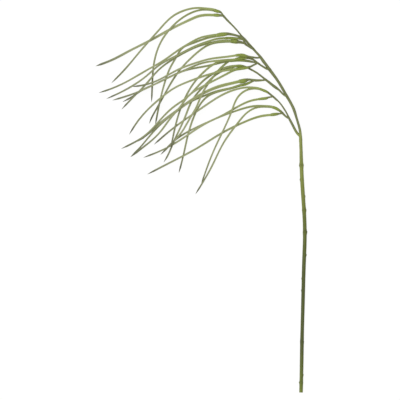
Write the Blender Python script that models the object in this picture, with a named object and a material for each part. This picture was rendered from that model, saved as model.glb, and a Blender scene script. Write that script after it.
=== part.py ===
"""Pencil grass stem, cut and laid flat.

One knotted stem ends in a fork. A thin main branch, called the rachis here, goes on from it to the head,
and five smaller branches leave the two of them. Seventeen short twigs swell into sheaths, and twenty-six
long flat blades grow out of the sheaths, all arching to the left.

The stem runs along +Y and lies on its knots. +Z is up, and z = 0 is the surface that the spray rests on.
Lengths are in millimetres until a mesh is made.
"""

from collections import namedtuple

import bpy
import numpy as np

# Driving dimensions
MM = 0.001
GAP = 0.3
STEM_HEIGHT = 4.4
KNOT_SWELL = 0.8
KNOT_LENGTH = 5.0
BLADE_WIDTH = 3.6
BLADE_THICKNESS = 1.9
ROOT_THICKNESS = 1.4
BLADE_TAPER = 0.05
BLADE_BASE = 1.14
BLADE_END = 0.90
NECK_WIDTH = 0.72
NECK_LENGTH = 0.06
ARCH_PEAK = 0.4

# How far a blade keeps from what it passes over, and how a lifted blade bends
AIR = 0.9
LIFT_SPREAD = 0.13
LIFT_ROOT = 0.12
LEAST_LIFT = 0.02
MOST_LIFTS = 300

# Fineness of the solids, and the depth of the dimple in each cut end
SAMPLES = 400
BLADE_SAMPLES = 160
DIMPLE = 0.35
STEM_SIDES = 8
TUBE_SIDES = 6
STEM_RINGS = 24
BLADE_RINGS = 18
LAST_RING = 0.4

# Colours and the roughness of the slightly waxy surface
WAXY = 0.5
GREEN_STEM = (0.115, 0.135, 0.040)
GREEN_BRANCH = (0.130, 0.160, 0.055)
GREEN_SHEATH = (0.240, 0.350, 0.060)
GREEN_BLADE = (0.270, 0.320, 0.110)
SHARP_EDGE = np.radians(50)

# The stem's middle line from the cut end to the fork, as x, y and the radius there, and the places of its
# knots along Y
STEM = [
    (201, -385, 3.4),
    (202, -340, 3.4),
    (203, -280, 3.4),
    (205, -200, 3.4),
    (207, -124, 3.5),
    (208.6, -72, 3.6),
    (207, -20, 3.6),
    (204, 24, 3.6),
    (202, 64, 3.5),
    (201, 100, 3.1),
    (200, 126, 3.1),
]
KNOTS = [-364, -283, -64, -20, 69, 120]

Branch = namedtuple("Branch", "parents points")
Sheath = namedtuple("Sheath", "parents points")
Blade = namedtuple("Blade", "sheath across up rise tip width points")
Limb = namedtuple("Limb", "path radius")
Laid = namedtuple("Laid", "path width thickness")

# Each point of a branch or a sheath is x, y, z and the radius there
BRANCHES = {
    "rachis": Branch(
        ["stem"],
        [
            (200, 126, 4.4, 2.8),
            (199.2, 137, 4.9, 2.35),
            (196.2, 150, 5.5, 2.3),
            (191.1, 167, 6.8, 2.35),
            (187, 180, 8, 2.7),
            (174, 205, 11, 2.6),
            (151.4, 242.6, 17, 2.6),
            (139.2, 259, 20, 3.0),
            (130.4, 271, 22, 2.75),
            (124.3, 279, 23.3, 2.95),
            (119.8, 285.5, 24.2, 2.4),
            (111.4, 295, 26, 2.15),
            (102.5, 305, 28, 2.15),
            (95.3, 313, 29.7, 2.1),
            (88.6, 321, 31, 2.0),
            (82.6, 327, 32, 1.7),
            (76, 335, 33, 1.5),
            (63.4, 349, 34.3, 1.5),
            (54.8, 357.6, 35, 2.0),
            (45, 368.3, 36, 2.0),
        ],
    ),
    "branch_middle": Branch(
        ["rachis"],
        [
            (176, 201.5, 10.6, 1.8),
            (165.6, 211, 13, 1.65),
            (155.5, 220.8, 15.2, 1.7),
            (152.6, 223, 15.8, 2.6),
            (147.2, 227, 16.4, 2.6),
            (131, 240, 18, 2.3),
            (126, 243.8, 18.6, 1.75),
            (113.5, 253.4, 21, 1.7),
            (99, 261.5, 23, 1.7),
        ],
    ),
    "branch_side": Branch(
        ["rachis"],
        [
            (136, 259.5, 20.2, 1.9), (129.5, 263.6, 22, 1.85), (123.8, 267, 23.8, 1.8),
            (115, 273, 26.5, 1.8),
        ],
    ),
    "branch_lower": Branch(
        ["stem", "rachis"],
        [
            (200, 126, 4.4, 2.4),
            (193, 134, 5, 2.4),
            (184.6, 149, 6.4, 2.3),
            (180.4, 157, 7.2, 2.3),
            (176.5, 164.5, 7.9, 2.0),
            (173.6, 171, 8.5, 1.5),
            (166.5, 183, 10, 1.5),
            (155.4, 197.3, 11.9, 1.3),
            (152.6, 199.8, 12.3, 1.9),
            (146.6, 205.2, 13.3, 1.9),
            (134.5, 215, 15, 1.8),
        ],
    ),
    "branch_left": Branch(
        ["branch_lower"],
        [
            (177.5, 162, 7.6, 1.8), (170.6, 167, 8, 1.8), (165.5, 172, 8.2, 2.0),
            (161.2, 176.6, 8.5, 2.0),
        ],
    ),
    "branch_upper": Branch(
        ["rachis"],
        [
            (104.5, 301.8, 28.4, 1.9), (100, 304.6, 31.2, 2.0), (93.4, 308.7, 33, 2.1),
            (88.6, 312.8, 34, 2.3), (87, 317.5, 34, 1.9),
        ],
    ),
}

SHEATHS = {
    "sheath_01": Sheath(
        ["rachis"],
        [
            (45, 368.5, 36, 1.4), (42.2, 373, 36.8, 1.3), (39.8, 375, 37.4, 2.0),
            (33.5, 376.8, 38.6, 2.9), (27.5, 378.8, 40, 2.8),
        ],
    ),
    "sheath_02": Sheath(
        ["rachis", "sheath_01"],
        [(45, 367.9, 35.7, 1.4), (39.5, 368.5, 34.9, 2.1), (34, 368.9, 34.4, 2.9), (27.5, 369.1, 34, 2.7)],
    ),
    "sheath_03": Sheath(
        ["branch_upper"],
        [
            (87, 317.5, 34, 1.6),
            (84.5, 321.3, 34.6, 1.7),
            (79, 325.6, 35.6, 1.9),
            (70, 328.8, 37, 1.95),
            (60, 330.9, 39, 2.3),
            (54, 331.5, 40, 2.7),
            (46, 330.6, 41, 3.6),
            (40, 330, 41.3, 3.6),
            (34, 328.8, 41.4, 3.3),
        ],
    ),
    "sheath_04": Sheath(
        ["branch_upper", "sheath_03"],
        [
            (87, 317.5, 34, 1.4), (83.5, 320.4, 33.8, 1.7), (78, 322, 33.2, 1.9),
            (71, 322.6, 32.8, 2.0), (60, 323.2, 33.2, 2.3), (50, 323.1, 33.5, 2.2),
        ],
    ),
    "sheath_05": Sheath(
        ["branch_upper", "sheath_04"],
        [
            (88.6, 312.8, 34, 1.2), (84, 315, 31.5, 1.25), (77, 317.2, 29.4, 1.3),
            (70, 318.2, 28.4, 2.5), (61, 318, 28.2, 2.2),
        ],
    ),
    "sheath_06": Sheath(
        ["branch_upper", "sheath_05"],
        [
            (90, 311.5, 33.6, 1.2), (84, 313, 29, 1.25), (77, 314, 25.4, 1.3),
            (71, 314.8, 23, 2.5), (61, 316, 22, 2.2),
        ],
    ),
    "sheath_07": Sheath(
        ["rachis"],
        [
            (120.3, 284.6, 24, 1.5), (112, 284, 28.5, 1.5), (106, 284.7, 31.5, 1.7),
            (98, 285.8, 34.5, 1.8), (92, 287.2, 36, 2.1), (86, 288.9, 37, 2.6), (72, 288.7, 38, 2.4),
        ],
    ),
    "sheath_09": Sheath(
        ["branch_side"],
        [
            (115, 273, 26.5, 1.3), (106, 275.3, 26.3, 1.4), (100, 276.6, 26.2, 2.0),
            (90, 278.2, 26.2, 2.2), (78, 279.3, 26.3, 2.7), (60, 278.5, 26.5, 2.8),
        ],
    ),
    "sheath_08": Sheath(
        ["branch_side", "sheath_09"],
        [
            (115, 273, 26.5, 1.5), (109, 277.8, 27.4, 1.6), (103, 281.6, 28.6, 1.8),
            (96, 283.6, 29.5, 2.0), (88, 284.3, 30.3, 2.7), (80, 283.4, 31, 2.9),
            (72, 281.4, 31.5, 2.5),
        ],
    ),
    "sheath_10": Sheath(
        ["branch_middle"],
        [
            (99, 261.5, 23, 1.6), (88, 266.5, 23.6, 1.8), (80, 267.6, 24, 2.7),
            (72, 267.5, 24.2, 2.5),
        ],
    ),
    "sheath_11": Sheath(
        ["branch_side", "sheath_09", "sheath_08"],
        [
            (115, 273, 26.5, 1.5), (106, 269.5, 28.4, 1.6), (101.5, 267, 29.2, 1.7),
            (87.5, 263.5, 30.5, 2.6), (71.5, 261, 31, 2.5),
        ],
    ),
    "sheath_12": Sheath(
        ["branch_middle"],
        [
            (131, 240, 18, 1.6),
            (124, 239.2, 18.2, 1.6),
            (118, 239, 18.3, 2.0),
            (111, 238.9, 18.5, 2.2),
            (104, 239.8, 18.8, 1.9),
            (97, 240.6, 19.4, 1.8),
            (92.5, 239.8, 19.8, 2.9),
            (87, 237.9, 20.1, 4.1),
            (79, 236.8, 20.6, 3.6),
        ],
    ),
    "sheath_13": Sheath(
        ["sheath_12"],
        [
            (111, 238.9, 18.5, 1.3), (104, 237, 17.4, 1.6), (98.5, 234.8, 15.8, 2.0),
            (89, 230.8, 14, 2.2), (80, 229, 13.2, 2.2),
        ],
    ),
    "sheath_14": Sheath(
        ["branch_lower"],
        [
            (134.8, 215, 15, 1.8), (131, 216.9, 15.3, 2.3), (126, 219, 15.7, 2.4),
            (118.5, 221.7, 16, 2.0),
        ],
    ),
    "sheath_15": Sheath(
        ["branch_lower"],
        [
            (146, 205.8, 13.4, 1.4), (137, 205.2, 12.3, 1.4), (132, 203.6, 11.8, 2.4),
            (124, 202.5, 11, 2.5), (117, 201.6, 10.6, 2.1),
        ],
    ),
    "sheath_16": Sheath(
        ["branch_left"],
        [
            (161.2, 176.6, 8.5, 1.9), (156.5, 179.8, 8.9, 2.3), (152, 182.6, 9.3, 2.6),
            (145, 185.3, 9.7, 2.5),
        ],
    ),
    "sheath_17": Sheath(
        ["branch_left", "sheath_16"],
        [
            (164.3, 173.4, 8.3, 1.2), (157.5, 172.4, 7.4, 1.4), (153, 171.8, 6.9, 2.4),
            (146.5, 171, 6.5, 2.8), (141, 170.3, 6.3, 2.5),
        ],
    ),
}

# Each blade starts across and up from the middle of its sheath's end. Its rise is the height of its arch
# over the straight line from root to tip, tip is the height of its tip, and its points are x and y beyond
# the root. They are in laying order: each blade is lifted off those before it.
BLADES = {
    "blade_17": Blade(
        "sheath_17", 0, 0, 12, 0, 1.08,
        [(123, 168), (89, 156.5), (43, 134), (-1, 107), (-41, 85), (-81, 64.5), (-107, 51)],
    ),
    "blade_16b": Blade(
        "sheath_16", -0.6, -1.05, 8, 0, 0.95,
        [
            (131, 186.5), (113, 185), (95.5, 176.5), (75, 154.5), (46, 114), (23.5, 69),
            (-10.5, 11),
        ],
    ),
    "blade_16a": Blade(
        "sheath_16", 0.6, 1.05, 14, 3, 1.0,
        [
            (127, 188), (103, 187), (75, 179.5), (43, 168), (9, 152), (-33, 125), (-69, 103.5),
            (-115, 84.5),
        ],
    ),
    "blade_15": Blade(
        "sheath_15", 0, 0, 10, 2, 1.0,
        [(103, 199), (79, 189), (49, 172), (9, 153), (-27, 135.5), (-50, 120.5), (-76.5, 94)],
    ),
    "blade_14b": Blade(
        "sheath_14", -0.5, -1.05, 6, 0, 0.92,
        [(105, 222.5), (89, 218), (75, 206), (63, 179.5), (44, 136), (25.5, 96.5), (1, 30)],
    ),
    "blade_14a": Blade(
        "sheath_14", 0.5, 1.05, 12, 3, 1.0,
        [
            (99, 225), (79, 223), (48.5, 212.5), (14.5, 192), (-21, 167.5), (-57, 141.5),
            (-93.5, 110.5),
        ],
    ),
    "blade_13b": Blade(
        "sheath_13", -0.6, -1.05, 8, 2, 1.0,
        [
            (54.5, 221.5), (30.5, 215), (11, 204.5), (-2.5, 188), (-14, 164.5), (-23.5, 136),
            (-31, 104), (-37, 78), (-43.5, 53.5),
        ],
    ),
    "blade_13a": Blade(
        "sheath_13", 0.6, 1.05, 10, 2, 1.0,
        [
            (59, 223.5), (35, 218), (7, 208), (-21.5, 195.5), (-49.5, 176), (-81, 150),
            (-101.5, 128), (-121, 105), (-140.5, 85.5),
        ],
    ),
    "blade_12": Blade(
        "sheath_12", 0, 0, 16, 6, 1.5,
        [
            (59, 232.5), (35, 226), (9, 215), (-21, 197.5), (-51, 175.5), (-81, 153),
            (-105.5, 132.5), (-126, 116.5),
        ],
    ),
    "blade_10b": Blade(
        "sheath_10", -0.5, -1.05, 8, 2, 1.0,
        [
            (55, 262), (34.5, 253), (13.5, 234), (-4, 216), (-19, 194.5), (-28.5, 171.5),
            (-40.5, 144), (-56, 110.5), (-65, 90), (-74, 74.5),
        ],
    ),
    "blade_10a": Blade(
        "sheath_10", 0.5, 1.05, 12, 4, 1.0,
        [
            (51, 265), (33.5, 257), (12.5, 244), (-9.5, 222.5), (-29, 203.5), (-51, 188),
            (-81, 159.5), (-109, 130.5), (-131, 116), (-159.5, 102),
        ],
    ),
    "blade_09c": Blade(
        "sheath_09", -0.3, -1.75, 12, 2, 1.0,
        [
            (48, 270.5), (30, 251.5), (12.5, 228), (1.5, 208.5), (-8.5, 185), (-21, 163.5),
            (-37, 136.5), (-57.5, 113), (-80.5, 90),
        ],
    ),
    "blade_09a": Blade(
        "sheath_09", -0.3, 0, 8, 3, 1.0,
        [
            (41, 274.5), (19, 269), (-5, 264.5), (-33, 258), (-61, 246), (-91, 231.5),
            (-115, 220.5), (-139, 205), (-156.5, 196),
        ],
    ),
    "blade_09b": Blade(
        "sheath_09", 0.6, 1.75, 6, 2, 1.0,
        [
            (43, 278), (28, 272), (7, 256), (-10, 238), (-24.5, 216), (-36, 192), (-44, 170),
            (-51.5, 142), (-59.5, 101),
        ],
    ),
    "blade_11b": Blade(
        "sheath_11", -0.8, -1.05, 14, 6, 1.0,
        [
            (58.6, 255), (46, 248.4), (23, 236.5), (-5, 221.5), (-23, 209), (-39, 188), (-59, 164.5),
            (-80.5, 136), (-100.5, 116.5), (-121, 100.5), (-139, 86),
        ],
    ),
    "blade_11a": Blade(
        "sheath_11", 0.8, 1.05, 20, 10, 1.0,
        [
            (39, 256.5), (7, 247.5), (-21, 237.5), (-51.2, 224), (-79, 204), (-111.5, 174),
            (-129.5, 151.5), (-143, 130),
        ],
    ),
    "blade_08": Blade(
        "sheath_08", 0, 0, 14, 5, 1.0,
        [
            (49, 279), (25, 277), (1, 272.5), (-25, 262), (-61, 246), (-95, 229.5), (-131, 213.5),
            (-177, 199),
        ],
    ),
    "blade_07": Blade(
        "sheath_07", 0, 0, 18, 12, 1.0,
        [
            (49, 285.5), (19, 281.5), (-11, 273), (-41, 262), (-70.5, 246.5), (-95, 235),
            (-117, 229), (-137, 226.5),
        ],
    ),
    "blade_06": Blade(
        "sheath_06", 0, 0, 6, 2, 1.0,
        [
            (41, 315.5), (19, 311), (-1, 299), (-21, 281.5), (-39.5, 262), (-58.8, 234),
            (-76, 203.5), (-91, 177), (-97, 166), (-103, 151.5),
        ],
    ),
    "blade_05": Blade(
        "sheath_05", 0, 0, 10, 4, 1.0,
        [
            (43, 318), (23, 314.5), (-1.5, 308), (-29, 296), (-57.5, 279.5), (-82.2, 261.2),
            (-109, 231.5), (-135.5, 204.5), (-158.5, 180.5),
        ],
    ),
    "blade_04": Blade(
        "sheath_04", 0, 0, 14, 6, 1.0,
        [
            (35, 322), (15, 316.5), (-7, 308.5), (-29, 298), (-55, 284.5), (-81.5, 270),
            (-107.3, 248.3), (-133, 230), (-161, 214.5), (-189, 202),
        ],
    ),
    "blade_03b": Blade(
        "sheath_03", -1.5, -1.05, 8, 2, 1.0,
        [
            (19, 324.5), (-1, 318.5), (-21, 311), (-37, 302.5), (-47.5, 287), (-60, 265),
            (-71, 236), (-81, 198), (-90.5, 149),
        ],
    ),
    "blade_03a": Blade(
        "sheath_03", 1.5, 1.05, 20, 8, 1.0,
        [
            (19, 328), (-1, 323.5), (-20.5, 313.5), (-45, 298.5), (-69, 281.5), (-107.5, 259),
            (-151, 234.5), (-181, 221.5), (-204, 214),
        ],
    ),
    "blade_02": Blade(
        "sheath_02", 0, 0, 12, 0, 1.3,
        [
            (13, 369.4), (3, 368.6), (-21, 360), (-57, 342.5), (-101, 318.5), (-141, 298.5), (-177, 280),
            (-210.5, 267.5),
        ],
    ),
    "blade_01b": Blade(
        "sheath_01", -1.0, -1.05, 10, 0, 1.0,
        [
            (9, 380), (-11, 376.5), (-35, 364.5), (-60, 342.5), (-76, 321), (-88, 294),
            (-94.5, 262), (-96.5, 228), (-98, 195),
        ],
    ),
    "blade_01a": Blade(
        "sheath_01", 1.0, 1.05, 18, 0, 1.0,
        [
            (9, 382.5), (-11, 383), (-33, 378), (-55, 367), (-81, 341.5), (-121, 296.5),
            (-149.5, 263), (-179, 233),
        ],
    ),
}


def smooth(points, count):
    """A natural cubic spline through the points, as count places even along its chords."""
    points = np.array(points, float)
    steps = np.linalg.norm(np.diff(points[:, :3], axis=0), axis=1)
    knots = np.concatenate([[0.0], np.cumsum(steps)])
    bends = np.eye(len(points))
    pulls = np.zeros_like(points)
    for i in range(1, len(points) - 1):
        bends[i, i - 1 : i + 2] = steps[i - 1], 2 * (steps[i - 1] + steps[i]), steps[i]
        pulls[i] = 6 * (points[i + 1] - points[i]) / steps[i]
        pulls[i] -= 6 * (points[i] - points[i - 1]) / steps[i - 1]
    bend = np.linalg.solve(bends, pulls)
    at = np.linspace(0.0, knots[-1], count)
    left = np.clip(np.searchsorted(knots, at, side="right") - 1, 0, len(steps) - 1)
    along = (at - knots[left])[:, None]
    span = steps[left][:, None]
    slope = (points[left + 1] - points[left]) / span - span * (2 * bend[left] + bend[left + 1]) / 6
    twist = (bend[left + 1] - bend[left]) / (6 * span)
    return points[left] + along * slope + along**2 * bend[left] / 2 + along**3 * twist


def ease(value):
    """0 to 1 with level ends."""
    value = np.clip(value, 0.0, 1.0)
    return value * value * (3 - 2 * value)


def limb(points):
    """The middle line of a round branch, and its radius all along, eased from point to point."""
    points = np.array(points, float)
    path = smooth(points[:, :3], SAMPLES)
    steps = np.linalg.norm(np.diff(points[:, :3], axis=0), axis=1)
    knots = np.concatenate([[0.0], np.cumsum(steps)]) / steps.sum()
    at = np.linspace(0.0, 1.0, SAMPLES)
    left = np.clip(np.searchsorted(knots, at, side="right") - 1, 0, len(steps) - 1)
    part = ease((at - knots[left]) / (knots[left + 1] - knots[left]))
    return Limb(path, points[left, 3] + part * (points[left + 1, 3] - points[left, 3]))


def ring_parts(points):
    """Where a branch or a sheath has its rings: at each of its points and halfway between them."""
    steps = np.linalg.norm(np.diff(np.array(points, float)[:, :3], axis=0), axis=1)
    knots = np.concatenate([[0.0], np.cumsum(steps)]) / steps.sum()
    return np.sort(np.concatenate([knots, (knots[:-1] + knots[1:]) / 2]))


def frames(path):
    """At each place of a path: its direction, the level one across it, and the one square to both."""
    along = np.gradient(path, axis=0)
    along /= np.linalg.norm(along, axis=1)[:, None]
    across = np.cross(along, (0.0, 0.0, 1.0))
    across /= np.linalg.norm(across, axis=1)[:, None]
    return along, across, np.cross(across, along)


def swept(line, sides):
    """The lines that a limb's corners draw along it. One of them runs down its underside."""
    _, across, up = frames(line.path)
    turns = np.arange(sides) * 2 * np.pi / sides - np.pi / 2
    turns = turns[:, None, None]
    radius = line.radius[None, :, None]
    return line.path + radius * (np.cos(turns) * across + np.sin(turns) * up)


def inside(places, other):
    """Which places are within the gap of a limb. Its far end is flat."""
    apart = places[:, None, :] - other.path[None, :, :]
    distance = np.linalg.norm(apart, axis=2)
    near = distance.argmin(axis=1)
    least = distance[np.arange(len(places)), near]
    end = frames(other.path)[0][-1]
    beyond = apart[:, -1, :] @ end
    level = np.sqrt(np.maximum(distance[:, -1] ** 2 - beyond**2, 0.0))
    body = least < other.radius[near] + GAP
    foot = (beyond < GAP) & (level < other.radius[-1] + GAP)
    return np.where(near == len(other.path) - 1, foot, body)


def seat(line, others):
    """The place along a line from which it is clear of the limbs that it grows from."""
    blocked = np.zeros(len(line), bool)
    for other in others:
        blocked |= inside(line, other)
    return int(np.flatnonzero(blocked)[-1]) + 1 if blocked.any() else 0


def tube(line, sides, rings, others):
    """Rows of a round limb. Its first row follows the surfaces of the limbs that it grows from."""
    lines = swept(line, sides)
    starts = np.array([seat(one, others) for one in lines], float)
    rows = []
    for part in rings:
        places = np.rint(starts + part * (SAMPLES - 1 - starts)).astype(int)
        rows.append(lines[np.arange(sides), places])
    foot = seat(line.path, others)
    along = frames(line.path)[0]
    return rows, line.path[foot] + DIMPLE * along[foot], line.path[-1] - DIMPLE * along[-1]


def arch(part):
    """A hump from 0 up to 1 at ARCH_PEAK and back to 0: a bent strip held at three places."""
    bend = -3 / (ARCH_PEAK * (1 - ARCH_PEAK))
    rest = 1 - ARCH_PEAK
    rising = bend * part**3 / (6 * ARCH_PEAK) + (1 / ARCH_PEAK - bend * ARCH_PEAK / 6) * part
    left = 1 - part
    falling = bend * left**3 / (6 * rest) + (1 / rest - bend * rest / 6) * left
    return np.where(part < ARCH_PEAK, rising, falling)


def blade_size(blade, part):
    """Half the width and half the thickness along a blade, which narrows slowly to a short blunt point."""
    point = np.clip((1 - part) / BLADE_TAPER, 0.0, 1.0) ** 0.75
    neck = NECK_WIDTH + (1 - NECK_WIDTH) * ease(part / NECK_LENGTH)
    wide = BLADE_WIDTH / 2 * blade.width * neck * point
    wide *= BLADE_BASE + (BLADE_END - BLADE_BASE) * part
    root = ease(part / LIFT_ROOT)
    thick = (ROOT_THICKNESS + root * (BLADE_THICKNESS - ROOT_THICKNESS)) / 2 * point
    return wide, thick


def blade_root(blade, sheath):
    """Where a blade starts, a gap off the end face of its sheath."""
    along, across, up = (axis[-1] for axis in frames(sheath.path))
    return sheath.path[-1] + GAP * along + blade.across * across + blade.up * up


def lay(path, wide, thick, laid):
    """Lifts a blade, in wide soft bends, until it clears everything laid before it."""
    others = np.concatenate([one.path for one in laid])
    widths = np.concatenate([one.width for one in laid])
    depths = np.concatenate([one.thickness for one in laid])
    apart = np.linalg.norm(path[:, None, :2] - others[None, :, :2], axis=2)
    apart /= wide[:, None] + widths[None, :] + AIR
    reach = np.sqrt(np.clip(1 - apart**2, 0.0, None)) * (thick[:, None] + depths[None, :] + AIR)
    part = np.linspace(0.0, 1.0, len(path))
    free = ease(part / LIFT_ROOT)
    reach[free < 0.1] = 0
    for _ in range(MOST_LIFTS):
        over = path[:, None, 2] - others[None, :, 2]
        short = np.where(np.abs(over) < reach, reach - over, 0.0).max(axis=1)
        worst = int(short.argmax())
        if short[worst] < LEAST_LIFT:
            break
        bump = np.exp(-(((part - part[worst]) / LIFT_SPREAD) ** 2))
        path[:, 2] += short[worst] * bump * free / free[worst]
    return path


def blade_path(blade, sheath, laid):
    root = blade_root(blade, sheath)
    plan = smooth([tuple(root[:2])] + blade.points, BLADE_SAMPLES)
    part = np.linspace(0.0, 1.0, BLADE_SAMPLES)
    height = root[2] + (blade.tip - root[2]) * part + blade.rise * arch(part)
    wide, thick = blade_size(blade, part)
    path = np.column_stack([plan, np.maximum(height, thick)])
    return Laid(lay(path, wide, thick, laid), wide, thick)


def blade_rows(one, face):
    """Six-sided rows along a blade, from its sheath's end face to its tip."""
    along, across, up = frames(one.path)
    rows = []
    parts = np.append(np.linspace(0, 1 - BLADE_TAPER, BLADE_RINGS - 1), 1 - LAST_RING * BLADE_TAPER)
    for place in np.rint(parts * (len(one.path) - 1)).astype(int):
        wide = one.width[place] * across[place]
        thick = one.thickness[place] * up[place]
        ring = [wide, wide / 2 + thick, thick - wide / 2, -wide, -wide / 2 - thick, wide / 2 - thick]
        rows.append(one.path[place] + np.array(ring))
    lean = (rows[0] - one.path[0]) @ face / (along[0] @ face)
    rows[0] = rows[0] - lean[:, None] * along[0]
    return rows, one.path[0] + DIMPLE * along[0], one.path[-1]


def paint(thing, colour):
    """Gives an object its own plain, slightly waxy material."""
    material = bpy.data.materials.new(thing.name + "_colour")
    material.use_nodes = True
    shader = material.node_tree.nodes["Principled BSDF"]
    shader.inputs["Base Color"].default_value = (*colour, 1.0)
    shader.inputs["Roughness"].default_value = WAXY
    shader.inputs["Metallic"].default_value = 0.0
    thing.data.materials.append(material)


def solid(name, shape, colour, parent):
    """A closed body from rows of corners, with a fan of faces to one point at each end."""
    rows, first, last = shape
    sides = len(rows[0])
    points = np.concatenate([*rows, [first], [last]])
    start, end = len(points) - 2, len(points) - 1
    faces = []
    for row in range(len(rows) - 1):
        for side in range(sides):
            a = row * sides + side
            b = row * sides + (side + 1) % sides
            faces.append((a, b, b + sides, a + sides))
    top = (len(rows) - 1) * sides
    for side in range(sides):
        faces.append((start, (side + 1) % sides, side))
        faces.append((top + side, top + (side + 1) % sides, end))
    mesh = bpy.data.meshes.new(name)
    mesh.from_pydata((points * MM).tolist(), [], [face[::-1] for face in faces])
    mesh.shade_smooth()
    mesh.set_sharp_from_angle(angle=SHARP_EDGE)
    thing = bpy.data.objects.new(name, mesh)
    bpy.context.collection.objects.link(thing)
    thing.parent = parent
    paint(thing, colour)
    return thing


def stem_limb():
    """The stem, level at the height of its thickest knots' radius, and swollen at each knot."""
    line = limb([(x, y, STEM_HEIGHT, radius) for x, y, radius in STEM])
    radius = line.radius
    for knot in KNOTS:
        radius = radius + KNOT_SWELL * np.exp(-(((line.path[:, 1] - knot) / KNOT_LENGTH) ** 2))
    return Limb(line.path, radius)


def stem_rings(line):
    """Even places along the stem, with three more at each knot."""
    ys = [knot + step * KNOT_LENGTH for knot in KNOTS for step in (-1.2, 0, 1.2)]
    even = np.linspace(STEM[0][1], STEM[-1][1], STEM_RINGS)
    ys += [y for y in even if min(abs(y - other) for other in ys) > KNOT_LENGTH]
    places = {int(np.abs(line.path[:, 1] - y).argmin()) for y in ys}
    return np.array(sorted(places | {0, SAMPLES - 1})) / (SAMPLES - 1)


def build():
    for thing in list(bpy.data.objects):
        bpy.data.objects.remove(thing)
    spray = bpy.data.objects.new("pencil_grass", None)
    bpy.context.collection.objects.link(spray)

    limbs = {"stem": stem_limb()}
    shape = tube(limbs["stem"], STEM_SIDES, stem_rings(limbs["stem"]), [])
    solid("stem", shape, GREEN_STEM, spray)

    for name, branch in BRANCHES.items():
        limbs[name] = limb(branch.points)
        parents = [limbs[parent] for parent in branch.parents]
        shape = tube(limbs[name], TUBE_SIDES, ring_parts(branch.points), parents)
        solid(name, shape, GREEN_BRANCH, spray)

    for name, sheath in SHEATHS.items():
        limbs[name] = limb(sheath.points)
        parents = [limbs[parent] for parent in sheath.parents]
        shape = tube(limbs[name], TUBE_SIDES, ring_parts(sheath.points), parents)
        solid(name, shape, GREEN_SHEATH, spray)

    laid = {}
    for name, line in limbs.items():
        laid[name] = Laid(line.path[::2], line.radius[::2], line.radius[::2])
    for name, blade in BLADES.items():
        sheath = limbs[blade.sheath]
        others = [one for other, one in laid.items() if other != blade.sheath]
        laid[name] = blade_path(blade, sheath, others)
        face = frames(sheath.path)[0][-1]
        solid(name, blade_rows(laid[name], face), GREEN_BLADE, spray)


build()
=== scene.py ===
"""Pencil grass spray, cut and laid flat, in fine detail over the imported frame.

The frame's solids give every strand its middle line and its size. Each strand is lofted again here, with the
ribs, knots, sheath mouths, grooves and points of the real thing. Seen by the camera, which looks straight
down, +X is right and +Y is up. Lengths are in millimetres until a mesh is made, and sides of a strand are in
degrees, where 0 is right and 180 is left.
"""

from collections import namedtuple

import bpy
import numpy as np
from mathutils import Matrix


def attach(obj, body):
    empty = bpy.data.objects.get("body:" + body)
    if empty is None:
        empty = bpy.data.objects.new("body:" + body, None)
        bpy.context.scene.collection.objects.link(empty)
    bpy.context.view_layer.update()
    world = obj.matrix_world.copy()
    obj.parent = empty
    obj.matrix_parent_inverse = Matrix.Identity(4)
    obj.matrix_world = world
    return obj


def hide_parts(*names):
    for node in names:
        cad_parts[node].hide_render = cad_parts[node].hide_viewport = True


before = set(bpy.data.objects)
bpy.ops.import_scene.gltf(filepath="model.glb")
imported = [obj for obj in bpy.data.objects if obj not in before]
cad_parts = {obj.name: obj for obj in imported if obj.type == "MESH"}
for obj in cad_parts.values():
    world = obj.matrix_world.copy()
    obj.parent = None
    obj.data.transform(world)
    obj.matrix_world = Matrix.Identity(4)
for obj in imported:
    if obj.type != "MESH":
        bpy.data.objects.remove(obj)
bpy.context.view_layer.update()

MM = 0.001
FULL_TURN = 2 * np.pi

# The picture: 800 mm wide at the floor, from so far away that the view is almost parallel
PICTURE_WIDTH = 800.0
PICTURE_CENTRE = (-1.0, 0.0)
SENSOR = 36.0
CAMERA_METRES = 20.0
FLOOR_METRES = 40.0

# Light, with angles in degrees
WHITE = (1.0, 1.0, 1.0, 1.0)
WORLD_LIGHT = 0.55
KEY_STRENGTH = 1.78
KEY_SOFTNESS = 60
KEY_TILT = (-8, -22)
FLOOR_GLOW = 0.91
FLOOR_COLOUR = (0.11, 0.11, 0.11, 1.0)

# Strands in the order that they grow from one another, and the two that the stem forks into
BRANCHES = ["rachis", "branch_middle", "branch_side", "branch_lower", "branch_left", "branch_upper"]
STEM_BRANCHES = ["rachis", "branch_lower"]
SHEATHS = sorted(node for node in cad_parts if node.startswith("sheath"))
BLADES = sorted(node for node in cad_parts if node.startswith("blade"))

# Fineness: corners round a strand, the length of one step along it, and the bend that looks sharp
STEM_SIDES = 44
TUBE_SIDES = 24
BLADE_SIDES = 28
STEM_STEP = 1.5
KNOT_STEP = 0.4
TUBE_STEP = 0.9
BLADE_ROWS = 120
BLADE_LINE_ROWS = 480
SHARP_ANGLE = np.radians(55)

# The solids: corners in a ring, the least gap between two rings of the stem, and how far from its middle
# line a corner of one is at least
CAD_SIDES = 6
CAD_STEM_SIDES = 8
CAD_STEM_GAP = 2.0
CAD_STEM_CORE = 1.0

# How much fuller each kind of strand is than its faceted solid
STEM_FULLNESS = 1.07
BRANCH_FULLNESS = 1.07
SHEATH_FULLNESS = 1.18
BLADE_FULLNESS = 1.06

# A wandering line: its waves, how many paces longer each is than the last, and what divides their sum
WAVES = 4
WAVE_GROWTH = 0.37
WAVE_SUM = 2.4

# The stem's ribs and slow changes in thickness, each with the length over which it changes
STEM_RIBS = 18
STEM_RIB_HEIGHT = 0.07
STEM_RIB_DRIFT = (0.5, 160)
STEM_RIB_CHANGE = (0.3, 25)
STEM_DRIFT = (0.08, 90)

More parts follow.
